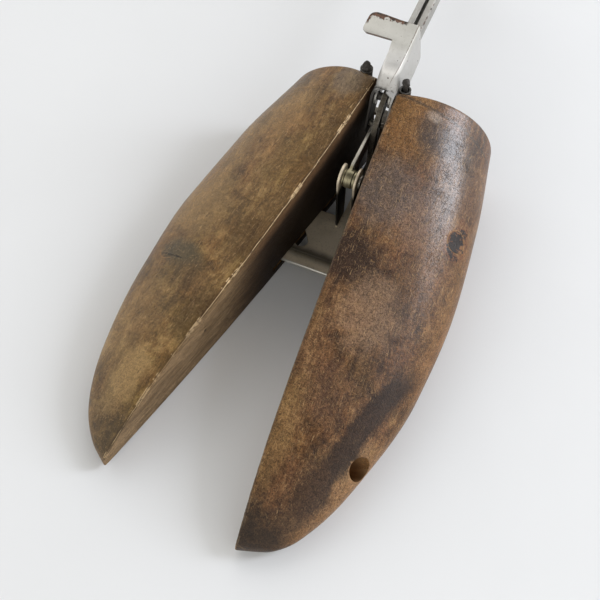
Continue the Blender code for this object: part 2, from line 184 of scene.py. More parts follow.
def stage():
    scene = bpy.context.scene
    scene.view_settings.view_transform = "Standard"
    world = bpy.data.worlds.new("studio")
    scene.world = world
    world.use_nodes = True
    tree = world.node_tree
    sky = tree.nodes["Background"]
    sky.inputs["Color"].default_value = (1.0, 0.985, 0.945, 1.0)
    # bright all round, dark straight above
    way = tree.nodes.new("ShaderNodeTexCoord")
    split = tree.nodes.new("ShaderNodeSeparateXYZ")
    fade = tree.nodes.new("ShaderNodeMapRange")
    fade.interpolation_type = "SMOOTHSTEP"
    for end, value in (("From Min", 0.55), ("From Max", 0.93), ("To Min", 1.46), ("To Max", 0.06)):
        fade.inputs[end].default_value = value
    tree.links.new(way.outputs["Generated"], split.inputs[0])
    tree.links.new(split.outputs[2], fade.inputs[0])
    tree.links.new(fade.outputs[0], sky.inputs["Strength"])
    area_light("window", 59.0, 30.0, 1.3, (0.32, 0.56), 8.6, (0.87, 0.91, 1.0))
    area_light("fill", -10.0, 35.0, 1.5, (1.2, 1.2), 4.0, (0.98, 0.98, 1.0))
    mesh = bpy.data.meshes.new("floor")
    reach, low = 4.0, -0.0004
    corners = [(reach * x, reach * y, low) for x, y in ((-1, -1), (1, -1), (1, 1), (-1, 1))]
    mesh.from_pydata(corners, [], [(0, 1, 2, 3)])
    floor = add_object("floor", mesh)
    g = Graph("pale_cloth")
    p = g.object_mm()
    tone = g.noise(p, 0.02, 3, 0.5)
    g.put("Base Color", g.mix(tone, (0.75, 0.76, 0.775), (0.78, 0.79, 0.805)))
    g.put("Roughness", 0.9)
    g.bsdf.inputs["Specular IOR Level"].default_value = 0.05
    g.bump(g.noise(p, 0.05, 4, 0.5), 0.6, 0.25)
    mesh.materials.append(g.mat)


# -------- node graphs

class Graph:
    """Small helper to write a Principled material as expressions."""

    def __init__(self, name):
        self.mat = bpy.data.materials.new(name)
        self.mat.use_nodes = True
        self.tree = self.mat.node_tree
        self.bsdf = self.tree.nodes["Principled BSDF"]
        self.normal = None

    def link(self, socket, value):
        if isinstance(value, bpy.types.NodeSocket):
            self.tree.links.new(value, socket)
        elif isinstance(value, (tuple, list)) and socket.type == "RGBA" and len(value) == 3:
            socket.default_value = (*value, 1.0)
        else:
            socket.default_value = value

    def put(self, name, value):
        self.link(self.bsdf.inputs[name], value)

    def node(self, kind, inputs, **settings):
        """A new node with its settings, and its inputs linked or set by name or number."""
        n = self.tree.nodes.new("ShaderNode" + kind)
        for key, value in settings.items():
            setattr(n, key, value)
        for key, value in inputs.items():
            self.link(n.inputs[key], value)
        return n

    def math(self, op, a, b=0.0):
        return self.node("Math", {0: a, 1: b}, operation=op).outputs[0]

    def chain(self, op, terms):
        out = terms[0]
        for term in terms[1:]:
            out = self.math(op, out, term)
        return out

    def add(self, *terms):
        return self.chain("ADD", terms)

    def mul(self, *terms):
        return self.chain("MULTIPLY", terms)

    def most(self, *terms):
        return self.chain("MAXIMUM", terms)

    def swing(self, noise, amount):
        """A noise round zero, times amount."""
        return self.mul(self.add(noise, -0.5), amount)

    def inv(self, a):
        return self.math("SUBTRACT", 1.0, a)

    def mix(self, fac, a, b, blend="MIX"):
        return self.node("Mix", {0: fac, 6: a, 7: b}, data_type="RGBA", blend_type=blend,
                         clamp_factor=True).outputs[2]

    def step(self, x, low, high, to_low=0.0, to_high=1.0):
        return self.node("MapRange", {0: x, 1: low, 2: high, 3: to_low, 4: to_high},
                         interpolation_type="SMOOTHSTEP").outputs[0]

    def near(self, x, centre, reach):
        """1 at the centre, falling smoothly to 0 at reach away from it."""
        gap = self.math("ABSOLUTE", self.math("SUBTRACT", x, centre))
        return self.step(gap, 0.0, reach, 1.0, 0.0)

    def attribute(self, name, output="Fac"):
        return self.node("Attribute", {}, attribute_name=name).outputs[output]

    def object_mm(self):
        return self.scaled(self.node("TexCoord", {}).outputs["Object"], (1000, 1000, 1000))

    def scaled(self, vector, scale, turn=(0, 0, 0), shift=(0, 0, 0)):
        turn = [math.radians(a) for a in turn]
        return self.node("Mapping", {0: vector, 1: shift, 2: turn, 3: scale}).outputs[0]

    def split(self, vector):
        return self.node("SeparateXYZ", {0: vector}).outputs[:]

    def warp(self, vector, scale, amount):
        """The vector pushed about by a soft noise, so straight grain wanders."""
        push = self.node("TexNoise", {"Vector": vector, "Scale": scale, "Detail": 1.0})
        inputs = {0: push.outputs["Color"], 1: (amount, amount, amount), 2: vector}
        return self.node("VectorMath", inputs, operation="MULTIPLY_ADD").outputs[0]

    def noise(self, vector, scale, detail=3.0, rough=0.5, bend=0.0):
        return self.node("TexNoise", {"Vector": vector, "Scale": scale, "Detail": detail,
                                      "Roughness": rough, "Distortion": bend}).outputs[0]

    def streaks(self, vector, scale, turn):
        """Noise drawn out along one axis, turned about Z."""
        return self.noise(self.scaled(vector, scale, turn=(0, 0, turn)), 1.0, 3, 0.6)

    def cells(self, vector, scale, feature="F1"):
        """Distance to the nearest cell's point, or with DISTANCE_TO_EDGE to its wall."""
        n = self.node("TexVoronoi", {"Vector": vector, "Scale": scale}, feature=feature)
        return n.outputs["Distance"]

    def edge(self, radius):
        """0 on flat metal, towards 1 on outer edges."""
        bevel = self.node("Bevel", {"Radius": radius * MM}, samples=6)
        normal = self.node("NewGeometry", {}).outputs["Normal"]
        dot = self.node("VectorMath", {0: bevel.outputs[0], 1: normal}, operation="DOT_PRODUCT")
        return self.step(dot.outputs["Value"], 0.995, 0.86)

    def bump(self, height, distance, strength):
        """Adds a bump, distance in millimetres, on top of those before it."""
        inputs = {"Height": height, "Distance": distance * MM, "Strength": strength}
        if self.normal is not None:
            inputs["Normal"] = self.normal
        self.normal = self.node("Bump", inputs).outputs[0]
        self.put("Normal", self.normal)


# -------- shapes

def monotone(xs, ys, x):
    """Smooth monotone curve through the points (Fritsch-Carlson slopes)."""
    n = len(xs)
    h = [xs[i + 1] - xs[i] for i in range(n - 1)]
    d = [(ys[i + 1] - ys[i]) / h[i] for i in range(n - 1)]
    m = [0.0] * n
    for i in range(1, n - 1):
        if d[i - 1] * d[i] > 0:
            w1 = 2 * h[i] + h[i - 1]
            w2 = h[i] + 2 * h[i - 1]
            m[i] = (w1 + w2) / (w1 / d[i - 1] + w2 / d[i])
    m[0] = d[0]
    m[-1] = d[-1]
    i = max(0, min(n - 2, sum(1 for a in xs[1:-1] if x >= a)))
    t = (x - xs[i]) / h[i]
    a = (2 * t ** 3 - 3 * t ** 2 + 1) * ys[i] + (t ** 3 - 2 * t ** 2 + t) * h[i] * m[i]
    b = (3 * t ** 2 - 2 * t ** 3) * ys[i + 1] + (t ** 3 - t ** 2) * h[i] * m[i + 1]
    return a + b


def smoothstep(x, low, high):
    t = max(0.0, min(1.0, (x - low) / (high - low)))
    return t * t * (3 - 2 * t)


def arc(centre, radius, start, end, steps):
    """Points on an arc, degrees measured from the first axis."""
    out = []
    for i in range(steps + 1):
        a = math.radians(start + (end - start) * i / steps)
        out.append((centre[0] + radius * math.cos(a), centre[1] + radius * math.sin(a)))
    return out


def to_object(bm, name, mat=None):
    """Turns bm into an object with its faces pointing out, and frees it."""
    mesh = bpy.data.meshes.new(name)
    bmesh.ops.recalc_face_normals(bm, faces=bm.faces)
    bm.to_mesh(mesh)
    bm.free()
    if mat is not None:
        mesh.materials.append(mat)
    return add_object(name, mesh)


def smooth(obj, degrees):
    obj.data.shade_smooth()
    obj.data.set_sharp_from_angle(angle=math.radians(degrees))


def store(mesh, **layers):
    """Keeps values for each vertex as attributes: rows of three as vectors, others as numbers."""
    for name, values in layers.items():
        data = np.array(values, np.float32)
        kind, field = ("FLOAT_VECTOR", "vector") if data.ndim == 2 else ("FLOAT", "value")
        layer = mesh.attributes.new(name, kind, "POINT")
        layer.data.foreach_set(field, data.ravel())


def join_rings(bm, a, b):
    for i in range(len(a)):
        j = (i + 1) % len(a)
        bm.faces.new((a[i], a[j], b[j], b[i]))


def loft(bm, rings):
    """Adds a closed body over matching rings of points, given in metres."""
    rows = [[bm.verts.new(point) for point in ring] for ring in rings]
    bm.faces.new(rows[0])
    bm.faces.new(rows[-1])
    for a, b in zip(rows[:-1], rows[1:]):
        join_rings(bm, a, b)


def slab(bm, corners, low, high):
    """Adds an upright prism with the given packed-frame corners, low to high in mm."""
    loft(bm, [[(p.x, p.y, z * MM) for p in corners] for z in (low, high)])


def side_prism(outline, low, high):
    """Prism along X with the outline given as (y, z)."""
    bm = bmesh.new()
    loft(bm, [[to_world(x, y, z) for y, z in outline] for x in (low, high)])
    return bm


def rod(bm, start, way, length, radius, steps=40):
    """Adds a round rod to bm; start in metres, length and radius in mm."""
    made = bmesh.ops.create_cone(bm, cap_ends=True, segments=steps, radius1=radius * MM,
                                 radius2=radius * MM, depth=length * MM)
    turn = Z_AXIS.rotation_difference(way).to_matrix().to_4x4()
    move = Matrix.Translation(start + way * (length * MM / 2)) @ turn
    bmesh.ops.transform(bm, matrix=move, verts=made["verts"])


def boolean(obj, bm, operation="DIFFERENCE"):
    """Cuts, joins or intersects the object with bm, which is used up."""
    tool = to_object(bm, "tool")
    mod = obj.modifiers.new("cut", "BOOLEAN")
    mod.operation = operation
    mod.solver = "EXACT"
    mod.object = tool
    graph = bpy.context.evaluated_depsgraph_get()
    mesh = bpy.data.meshes.new_from_object(obj.evaluated_get(graph))
    obj.modifiers.clear()
    obj.data = mesh
    bpy.data.objects.remove(tool)


def clean(bm, degrees):
    """Merges doubled points and joins faces that lie flat within the angle."""
    bmesh.ops.remove_doubles(bm, verts=bm.verts, dist=MERGE)
    bmesh.ops.dissolve_limit(bm, angle_limit=math.radians(degrees), verts=bm.verts, edges=bm.edges)


def round_edges(bm, turn, offset, segments, pick=None, clamp=True):
    """Bevels the edges whose faces turn by more than turn, in radians, and that pick accepts."""
    edges = []
    for e in bm.edges:
        if len(e.link_faces) == 2 and e.calc_face_angle(0) > turn and (pick is None or pick(e)):
            edges.append(e)
    bmesh.ops.bevel(bm, geom=edges, offset=offset * MM, offset_type="OFFSET", segments=segments,
                    profile=0.5, affect="EDGES", clamp_overlap=clamp)


def stand_in(obj, node):
    """The piece rides with a CAD node's body and replaces the node."""
    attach(obj, frame["nodes"][node]["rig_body"])
    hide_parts(node)


# -------- half lasts

def half_place(half, u, v, z):
    """Packed-frame point of a half last: u out from the inner face, v from back to toe."""
    turn = math.radians(half["turn"])
    x = XI + u * math.cos(turn) + v * math.sin(turn)
    y = u * math.sin(turn) - v * math.cos(turn) + half["y0"]
    return to_world(half["side"] * x, y, z)


def half_local(half, point):
    """u, v, z in millimetres of a packed-frame point."""
    p = to_mech(point)
    turn = math.radians(half["turn"])
    x = half["side"] * p.x - XI
    y = p.y - half["y0"]
    return (x * math.cos(turn) + y * math.sin(turn), x * math.sin(turn) - y * math.cos(turn), p.z)


def hollow(s):
    """How far the inner face stands off its straight line."""
    return BOW * 4 * s * (1 - s)


def ridge(s):
    """Height of the ridge at one station."""
    return monotone(RIDGE_AT, RIDGE, s)


def heights(half, s):
    """Sole, widest line and ridge at one station."""
    top = ridge(s)
    base = TOE_LIFT * max(0.0, (s - 0.6) / 0.4) ** 2
    return base, base + half["low"] * (top - base), top


# angles down the outer side, from the ridge to the widest line, and on to the sole
UPPER = [0.004, 0.010, 0.019, 0.030, 0.045, 0.065, 0.090]
UPPER += [0.12 + (math.pi / 2 - 0.12) * i / 36 for i in range(37)]
LOWER = [math.pi / 2 * i / 12 for i in range(1, 13)]
# shares of the inner face's height, close together near its edges
INNER = [0.0, 0.012, 0.03, 0.07, 0.15, 0.25, 0.36, 0.48, 0.6, 0.7, 0.78, 0.845, 0.895, 0.93]
INNER += [0.955, 0.973, 0.986, 0.995]


def fray(half, v):
    """How far the ridge is chipped at v: 0 sound, up to 1."""
    a = noise.noise(Vector((v * 0.16, half["seed"], 0.3)))
    b = noise.noise(Vector((v * 0.55, half["seed"], 7.1)))
    c = noise.noise(Vector((v * 1.7, half["seed"], 3.7)))
    return max(0.0, min(1.0, 0.18 + 0.9 * a + 0.7 * b + 0.5 * c))


def ring(half, s, shrink=0.0):
    """Closed outline at one station in (u, z): ridge, outer side, sole, inner face."""
    base, _, top = heights(half, s)
    wide = monotone(WIDTH_AT, half["width"], s) - shrink
    v = s * LENGTH
    # towards the toe the ridge drops and the sole rises a little
    nose = max(0.0, (v - (LENGTH - NOSE)) / NOSE)
    drop = 1 - math.sqrt(max(0.0, 1 - nose * nose))
    top -= 2.2 * drop + shrink
    base += 0.9 * drop + shrink
    middle = base + half["low"] * (top - base)
    r = min(0.75, 0.22 * wide, 0.2 * (top - base))
    corner = half["corner"]
    heel = corner - math.sqrt(corner ** 2 - (corner - min(v, corner)) ** 2)
    pts = [(0.0, top - r), (0.0765 * r, top - 0.62 * r)]
    for a in UPPER:
        u = wide * math.sin(a)
        z = middle + (top - middle) * math.cos(a)
        if u < r:
            z -= r - math.sqrt(r * r - (r - u) ** 2)
        pts.append((u, z))
    for a in LOWER:
        pts.append((wide * (SOLE + (1 - SOLE) * math.cos(a)), middle - (middle - base) * math.sin(a)))
    for i in range(1, 7):
        pts.append((SOLE * wide * (1 - i / 6) + 0.4 * r * i / 6, base))
    for f in INNER:
        pts.append((0.0, base + 0.4 * r + (top - r - base - 0.4 * r) * f))
    out = []
    for u, z in pts:
        high = max(0.0, (z - middle) / (top - middle))
        out.append((u + shrink * (1 - u / wide), z - heel * high ** 2 * math.exp(-(u / 7.0) ** 2)))
    return out


def half_mesh(half):
    """Fine half last with rounded edges and a frayed ridge."""
    edge, edge_steps, stations = 0.8, 7, 290
    rows = []
    for k in range(edge_steps):
        phi = math.pi / 2 * k / edge_steps
        rows.append((edge * (1 - math.cos(phi)), edge * (1 - math.sin(phi))))
    for k in range(stations + 1):
        x = k / stations
        rows.append((edge + (LENGTH - edge) * (x + 0.12 * (x - x * x)), 0.0))
    rings = []
    for v_row, shrink in rows:
        s = min(1.0, v_row / LENGTH)
        points = []
        for u, z in ring(half, s, shrink):
            v = v_row + half["cut"] * u * (1 - s) ** 2
            away = math.hypot(u, ridge(s) - z)
            if away < CHIP_REACH and 0.01 < s < 0.985:
                worn = 0.7 * fray(half, v) * half["chipped"] * (1 - away / CHIP_REACH) ** 1.5
                u += worn
                z -= worn
            points.append(half_place(half, u + hollow(s), v, z))
        rings.append(points)
    bm = bmesh.new()
    loft(bm, rings)
    return bm


def peg_axis(half, v, u, z):
    """Point on the outer face and the outward direction there."""
    _, middle, top = heights(half, v / LENGTH)
    wide = monotone(WIDTH_AT, half["width"], v / LENGTH)
    here = half_place(half, u, v, z)
    there = half_place(half, u + u / wide ** 2, v, z + (z - middle) / (top - middle) ** 2)
    return here, (there - here).normalized()


def back_point(half, u, height):
    """Point on the back face and the direction out of it."""
    here = half_place(half, u, half["cut"] * u, height)
    ahead = half_place(half, u + 1, half["cut"] * (u + 1), height)
    along = (ahead - here).normalized()
    behind = Vector((-along.y, along.x, 0))
    return here, behind if behind.y > 0 else -behind


def plug_piece(half, tree, mat):
    """Wooden plug whose top follows the face of the half last."""
    spot, out = peg_axis(half, *half["plug"])
    side = out.cross(Vector((0, 1, 0))).normalized()
    other = out.cross(side).normalized()
    rings, turns, above = 7, 44, 0.01
    centre = spot + Vector((0.0, 0.07, 0.0)) * MM      # a little off, so no ray meets an edge
    bm = bmesh.new()
    rows = []
    for k in range(rings + 1):
        row = []
        for i in range(turns if k else 1):
            a = 2 * math.pi * i / turns
            r = (PEG_RADIUS - 0.03) * MM * (k / rings) ** 0.8
            at = centre + side * (r * math.cos(a)) + other * (r * math.sin(a))
            face = tree.ray_cast(at + out * above, -out)[0]
            wear = 0.02
            if half["side"] > 0:
                wear += 0.2 * (1 - (k / rings) ** 2) + 0.1 * noise.noise(Vector((i * 0.4, k * 0.7, 2.0)))
            row.append(bm.verts.new(face - out * (wear * MM)))
        rows.append(row)
    middle = rows[0][0]
    for i in range(turns):
        bm.faces.new((middle, rows[1][i], rows[1][(i + 1) % turns]))
    foot = [bm.verts.new(v.co - out * (PLUG_DEPTH * MM)) for v in rows[-1]]
    bm.faces.new(foot)
    rows.append(foot)
    for a, b in zip(rows[1:-1], rows[2:]):
        join_rings(bm, a, b)
    obj = to_object(bm, "plug_" + half["tag"] + "_top", mat)
    paint(half, obj, [])
    smooth(obj, 50)
    return obj


def paint(half, obj, holes):
    """Stores where each vertex lies on the half last, for the wood's material."""
    mesh = obj.data
    lay, rim, part, chip, bore = [], [], [], [], []
    for vert in mesh.vertices:
        u, v, z = half_local(half, vert.co)
        s = min(1.0, max(0.0, v / LENGTH))
        u -= hollow(s)
        below = ridge(s) - z
        lay.append((u, v, z))
        rim.append(u if u > below else -below)
        part.append(u / max(0.6, monotone(WIDTH_AT, half["width"], s)))
        chip.append(fray(half, v))
        bore.append(0.0)
        for spot, out, radius in holes:
            off = vert.co - spot
            depth = off.dot(out)
            if depth < -0.8 * MM and (off - out * depth).length < (radius + 0.1) * MM:
                bore[-1] = 1.0
    store(mesh, lay=lay, rim=rim, part=part, bore=bore, chip=chip)


def half_last(half, wood):
    """Half last with its kerf, bores and peg holes, and the plug in it."""
    tag = half["tag"]
    body = to_object(half_mesh(half), "last_" + tag, wood)
    raw = bmesh.new()
    raw.from_mesh(body.data)
    tree = BVHTree.FromBMesh(raw)
    raw.free()
    cutter = bmesh.new()
    slab(cutter, [half_place(half, u, v, 0) for u, v in KERF], KERF_LOW, KERF_HIGH)
    rod(cutter, half_place(half, *half["guide"], UNDER), Z_AXIS, GUIDE_TOP - UNDER, GUIDE_BORE)
    boolean(body, cutter)
    cutter = bmesh.new()
    rod(cutter, to_world(*half["pin"], UNDER), Z_AXIS, PIN_TOP - UNDER, PIN_BORE, 48)
    pin_u = (abs(half["pin"][0]) - XI) / math.cos(math.radians(half["turn"]))
    for height in SCREW_HEIGHTS:
        at, behind = back_point(half, pin_u + SCREW_ASIDE, height)
        rod(cutter, at - behind * (SCREW_DEEP * MM), behind, SCREW_LONG, SCREW_BORE, 24)
    pegs = [(half["plug"], PLUG_HOLE)]
    if half["side"] > 0:
        pegs.append((PEG, PEG_HOLE))
    holes = []
    for place, (deep, long) in pegs:
        spot, out = peg_axis(half, *place)
        rod(cutter, spot - out * (deep * MM), out, long, PEG_RADIUS)
        holes.append((spot, out, PEG_RADIUS))
    boolean(body, cutter)
    paint(half, body, holes)
    smooth(body, 38)
    stand_in(body, "half_" + tag)
    stand_in(plug_piece(half, tree, wood), "plug_" + tag)


# -------- metal pieces

def skin(node, mat, fine, wide=None, move=None):
    """A finished copy of a CAD node with its edges rounded by fine; stands for that node.

    wide is (pick, offset, segments) for edges with a larger round, and move bends the result.
    """
    bm = bmesh.new()
    bm.from_mesh(frame["nodes"][node].data)
    clean(bm, 1.2)
    if wide is not None:
        pick, offset, segments = wide
        round_edges(bm, 0.6, offset, segments, pick)
    round_edges(bm, math.radians(40), fine, 2)
    bmesh.ops.remove_doubles(bm, verts=bm.verts, dist=MERGE)
    if move is not None:
        for v in bm.verts:
            v.co = move(v.co)
    obj = to_object(bm, node + "_skin", mat)
    smooth(obj, 32)
    stand_in(obj, node)


def strut_rail(e):
    """The two long upper corners of the strut."""
    ends = [to_mech(v.co) for v in e.verts]
    return all(abs(abs(p.x) - STRUT_OUT) < 0.02 and p.z > STRUT_RAIL for p in ends)


def plate_lip(e):
    """Upper front edge of the slide plate."""
    ends = [to_mech(v.co) for v in e.verts]
    return all(abs(p.y - PLATE_FRONT) < 0.02 and p.z > PLATE_TOP for p in ends)


def worn_head(co):
    """A hinge pin's round head, filed small and uneven."""
    p = to_mech(co)
    if p.z < PIN_HEAD:
        return co
    x, y = min((LEFT["pin"], RIGHT["pin"]), key=lambda c: abs(c[0] - p.x))
    k = 0.68 + 0.22 * noise.noise(p * 0.9)
    return to_world(x + (p.x - x) * k, y + (p.y - y) * k, p.z)


def web_top(y):
    """Height of the lever's web; it curves down to the pivot."""
    return monotone(LEVER_Y, LEVER_Z, max(FRONT, min(BACK, y)))


def lever_shape(p):
    """The side walls lean out below the web, which narrows to the pivot; the tab sags a little."""
    if p.x < -LEVER_OUT - 0.01:
        return to_world(p.x, p.y, p.z - TAB_SAG * (p.x + 3.3) ** 2)
    y = max(FRONT, min(BACK, p.y))
    top = web_top(y)
    rear = smoothstep(y, 4.0, 9.0)
    # each wall leans out over depth below the web, from near to foot
    brief = max(0.25, min(4.0, top - 44.6))
    if p.x > 0:
        near = monotone(*WEB_RIGHT, y)
        depth, foot = brief + 10.0 * rear, LEVER_OUT + 1.2 * rear
    else:
        near = monotone(*WEB_LEFT, y)
        depth, foot = brief, LEVER_OUT
    t = max(0.0, min(1.0, (top - 0.15 - p.z) / depth))
    outer = near + (foot - near) * (t ** 0.8)
    return to_world(p.x * outer / LEVER_OUT, p.y, p.z)


def lever_bend(e):
    """Outer edge between the web and a side wall."""
    for v in e.verts:
        p = to_mech(v.co)
        if abs(abs(p.x) - LEVER_OUT) > 0.05 or p.y < FRONT - 0.1 or abs(p.z - web_top(p.y)) > 0.06:
            return False
    return True


def lever_sheet(mat):
    """Web, two side walls and the thumb tab as one square-edged sheet."""
    line = [(y, web_top(y)) for y in
            (BACK, 18.0, 13.0, 9.0, 7.0, 6.0, 5.0, 4.2, 3.4, 2.7, 2.0, 1.4, 0.9, 0.4, 0.0, -0.4, FRONT)]
    long_line = [(BACK + 1.0, LEVER_Z[-1])] + line
    below = [(y, z - SHEET) for y, z in reversed(long_line)]
    body = to_object(side_prism(long_line + below, -16.0, 6.0), "lever_sheet", mat)
    plan = [(LEVER_OUT, FRONT - 2), (LEVER_OUT, BACK), (-3.3, BACK), (-9.0, 22.3)]
    plan += arc((-11.6, 19.8), 2.6, 80, 180, 10) + arc((-12.0, 15.6), 2.4, 180, 270, 10)
    plan += [(-LEVER_OUT, 13.2), (-LEVER_OUT, FRONT - 2)]
    stamp = bmesh.new()
    slab(stamp, [to_world(x, y, 0.0) for x, y in plan], 40.0, 60.0)
    boolean(body, stamp, "INTERSECT")
    ear = line + arc(PIVOT, PIVOT_EAR, 95, 185, 12) + arc(CRANK_POINT, CRANK_EAR, 160, 310, 16)
    right = ear + [(3.6, 35.6), (9.0, 37.2), (20.4, 38.3), (21.4, 39.0), (BACK, 40.2)]
    left = [p for p in ear if p[0] <= 9.0] + [(3.6, 35.6), (7.0, 38.4), (9.0, 42.0)]
    boolean(body, side_prism(right, LEVER_OUT - SHEET, LEVER_OUT), "UNION")
    boolean(body, side_prism(left, -LEVER_OUT, SHEET - LEVER_OUT), "UNION")
    holes = bmesh.new()
    for centre, radius in ((PIVOT, PIVOT_BORE), (CRANK_POINT, CRANK_BORE)):
        rod(holes, to_world(-6, *centre), X_AXIS, 12, radius, 36)
    boolean(body, holes)
    return body


def lever_piece(mat):
    """The lever's sheet with round bends, cut fine and pressed to its worn shape."""
    body = lever_sheet(mat)
    bm = bmesh.new()
    bm.from_mesh(body.data)
    bpy.data.objects.remove(body)
    clean(bm, 0.8)
    round_edges(bm, 0.8, 0.62, 5, lever_bend)
    bmesh.ops.remove_doubles(bm, verts=bm.verts, dist=0.04 * MM)
    round_edges(bm, math.radians(50), 0.06, 2, clamp=False)
    spacing = 1.1
    for axis, low, high in ((1, -4.0, 21.5), (2, 36.5, 53.5)):
        for at in np.arange(low, high, spacing):
            point, way = [0.0, 0.0, 0.0], [0.0, 0.0, 0.0]
            point[axis] = (at + SHIFT[axis]) * MM
            way[axis] = 1.0
            bmesh.ops.bisect_plane(bm, geom=bm.verts[:] + bm.edges[:] + bm.faces[:], dist=1e-7,
                                   plane_co=point, plane_no=way)
    bmesh.ops.remove_doubles(bm, verts=bm.verts, dist=MERGE)
    flat = [to_mech(v.co) for v in bm.verts]
    for v, place in zip(bm.verts, flat):
        v.co = lever_shape(place)
    obj = to_object(bm, "lever_skin", mat)
    store(obj.data, flat=flat)
    smooth(obj, 30)
    stand_in(obj, "lever")


# -------- heel piece

def heel_piece(mat):
    """Rounded wooden heel, flat in front with soft edges, domed behind."""
    levels, around, across, soft = 44, 40, 14, 1.6
    rings = []
    for k in range(levels + 1):
        z = HEEL_LOW + HEEL_TALL * k / levels
        bulge = math.sqrt(max(0.0, 1 - ((z - HEEL_MIDDLE) / HEEL_ROUND) ** 2))
        near_end = min(k, levels - k) / levels * HEEL_TALL
        tuck = soft - math.sqrt(max(0.0, soft ** 2 - (soft - min(near_end, soft)) ** 2))
        wide, deep = HEEL_WIDE * bulge - tuck, HEEL_DEEP * bulge - tuck
        front = HEEL_FRONT + tuck * 0.6
        outline = []
        for i in range(around + 1):
            a = math.radians(-90 + 180 * i / around)
            lean = min(1.0, 2.2 * math.cos(a))
            outline.append((wide * math.sin(a), front + (deep - 0.3) * math.cos(a) * lean ** 0.15))
        for i in range(1, across):
            outline.append((wide * (1 - 2 * i / across), front))
        rings.append([to_world(x, y, z) for x, y in outline])
    bm = bmesh.new()
    loft(bm, rings)
    body = to_object(bm, "heel_wood_block", mat)
    bore = bmesh.new()
    loft(bore, [[to_world(x, y, z) for x, z in HEEL_BORE] for y in (HEEL_BORE_FROM, HEEL_BORE_TO)])
    boolean(body, bore)
    places = [to_mech(v.co) for v in body.data.vertices]
    # stands for a stretch of wood well away from the ridge
    store(body.data, lay=[(p.x + 20.0, p.z, p.y) for p in places], rim=[5.0] * len(places),
          part=[0.4] * len(places))
    smooth(body, 40)
    stand_in(body, "heel_block")


# -------- wood

# Looks of each kind of wood. tones are dark, middle and pale, and the others are strengths:
# speckle of the specks, specks of their relief, curls of the curly hairs, coat of the varnish,
# shade of the dark stretch beside the ridge, line of the pale line on it, at the back and toe.
WOOD = {
    "left": {"tones": ((76, 58, 37), (113, 87, 53), (145, 117, 76)), "speckle": 0.85,
             "curls": 0.22, "shade": 0.55, "line": (0.90, 0.42), "coat": 0.15, "specks": 0.55},
    "right": {"tones": ((58, 41, 29), (96, 68, 44), (128, 97, 65)), "speckle": 1.6,
              "curls": 0.28, "shade": 0.30, "line": (0.12, 0.12), "coat": 0.84, "specks": 0.75},
}
WOOD["heel"] = dict(WOOD["right"], coat=0.35)

# Stained or worn places, and on the right half two grey places of painted sheen: centre (u, v), reach
# (u, v), colour and strength.
RIGHT_PLACES = (
    ((8, 8), (12, 17), (124, 88, 46), 0.50),
    # painted sheen: the next two grey places stand for the varnish's reflection on the right half's top
    ((9, 34), (12, 15), (88, 80, 76), 0.62),
    ((20, 36), (8, 14), (108, 90, 80), 0.45),
    ((5, 58), (13, 12), (44, 29, 20), 0.92),
    ((17, 73), (11, 15), (134, 108, 86), 0.58),
    ((18, 9), (10, 8), (58, 49, 45), 0.80),
    ((34, 18), (6, 13), (92, 66, 48), 0.50),
    ((14.5, 2.8), (3.4, 2.6), (150, 138, 128), 0.55),
    ((27, 52), (8, 16), (126, 88, 54), 0.30),
    ((24, 68), (4, 4), (58, 42, 34), 0.45),
    ((3, 118), (5, 14), (128, 100, 62), 0.45),
    ((13, 100), (9, 12), (110, 80, 60), 0.35),
)
LEFT_PLACES = (
    ((25, 66), (12, 16), (156, 125, 80), 0.40),
    ((20, 110), (12, 20), (146, 117, 77), 0.30),
    ((9, 127), (6, 13), (160, 132, 88), 0.62),
    ((12, 42), (6, 15), (94, 76, 46), 0.45),
    ((8, 6), (7, 8), (112, 104, 96), 0.50),
    ((21, 84), (10, 5), (76, 68, 50), 0.75),
    ((13, 90), (8, 6), (84, 66, 44), 0.50),
    ((5, 70), (8, 10), (74, 54, 30), 0.65),
    ((30, 50), (7, 30), (152, 121, 78), 0.35),
    ((21, 24), (9, 12), (156, 122, 76), 0.45),
    ((3, 30), (4, 14), (90, 66, 40), 0.40),
    ((3, 99), (6, 12), (70, 52, 30), 0.75),
)


